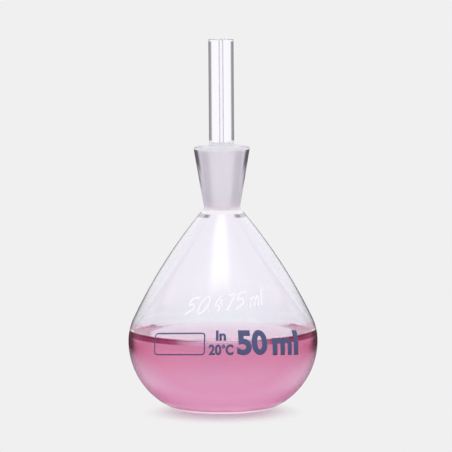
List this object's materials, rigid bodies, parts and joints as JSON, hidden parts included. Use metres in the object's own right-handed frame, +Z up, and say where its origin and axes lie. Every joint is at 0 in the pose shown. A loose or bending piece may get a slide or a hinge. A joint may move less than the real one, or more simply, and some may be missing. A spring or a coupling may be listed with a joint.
{
  "type": "density bottle",
  "caption": "Pear-shaped glass density bottle with a funnel neck and a ground capillary stopper that lifts out, part filled with pink liquid.",
  "frame": {"origin": "centre of the flat ring that the bottle stands on, at table height", "axes": "+Z up along the axis of the bottle and its stopper, -Y towards the printed front"},
  "size_m": [0.049, 0.049, 0.0955],
  "materials": {
    "clear_glass": "clear, ground matt inside the neck",
    "stopper_glass": "clear tube, ground matt plug",
    "pink_liquid": "clear pink liquid"
  },
  "bodies": {
    "bottle": {"bottle": "clear_glass", "liquid": "pink_liquid"},
    "stopper": {"capillary_stopper": "stopper_glass"}
  },
  "joints": [
    {"name": "stopper_lift", "type": "slide", "parent": "bottle", "child": "stopper", "axis": [0, 0, 1], "range_m": [0, 0.02]}
  ]
}
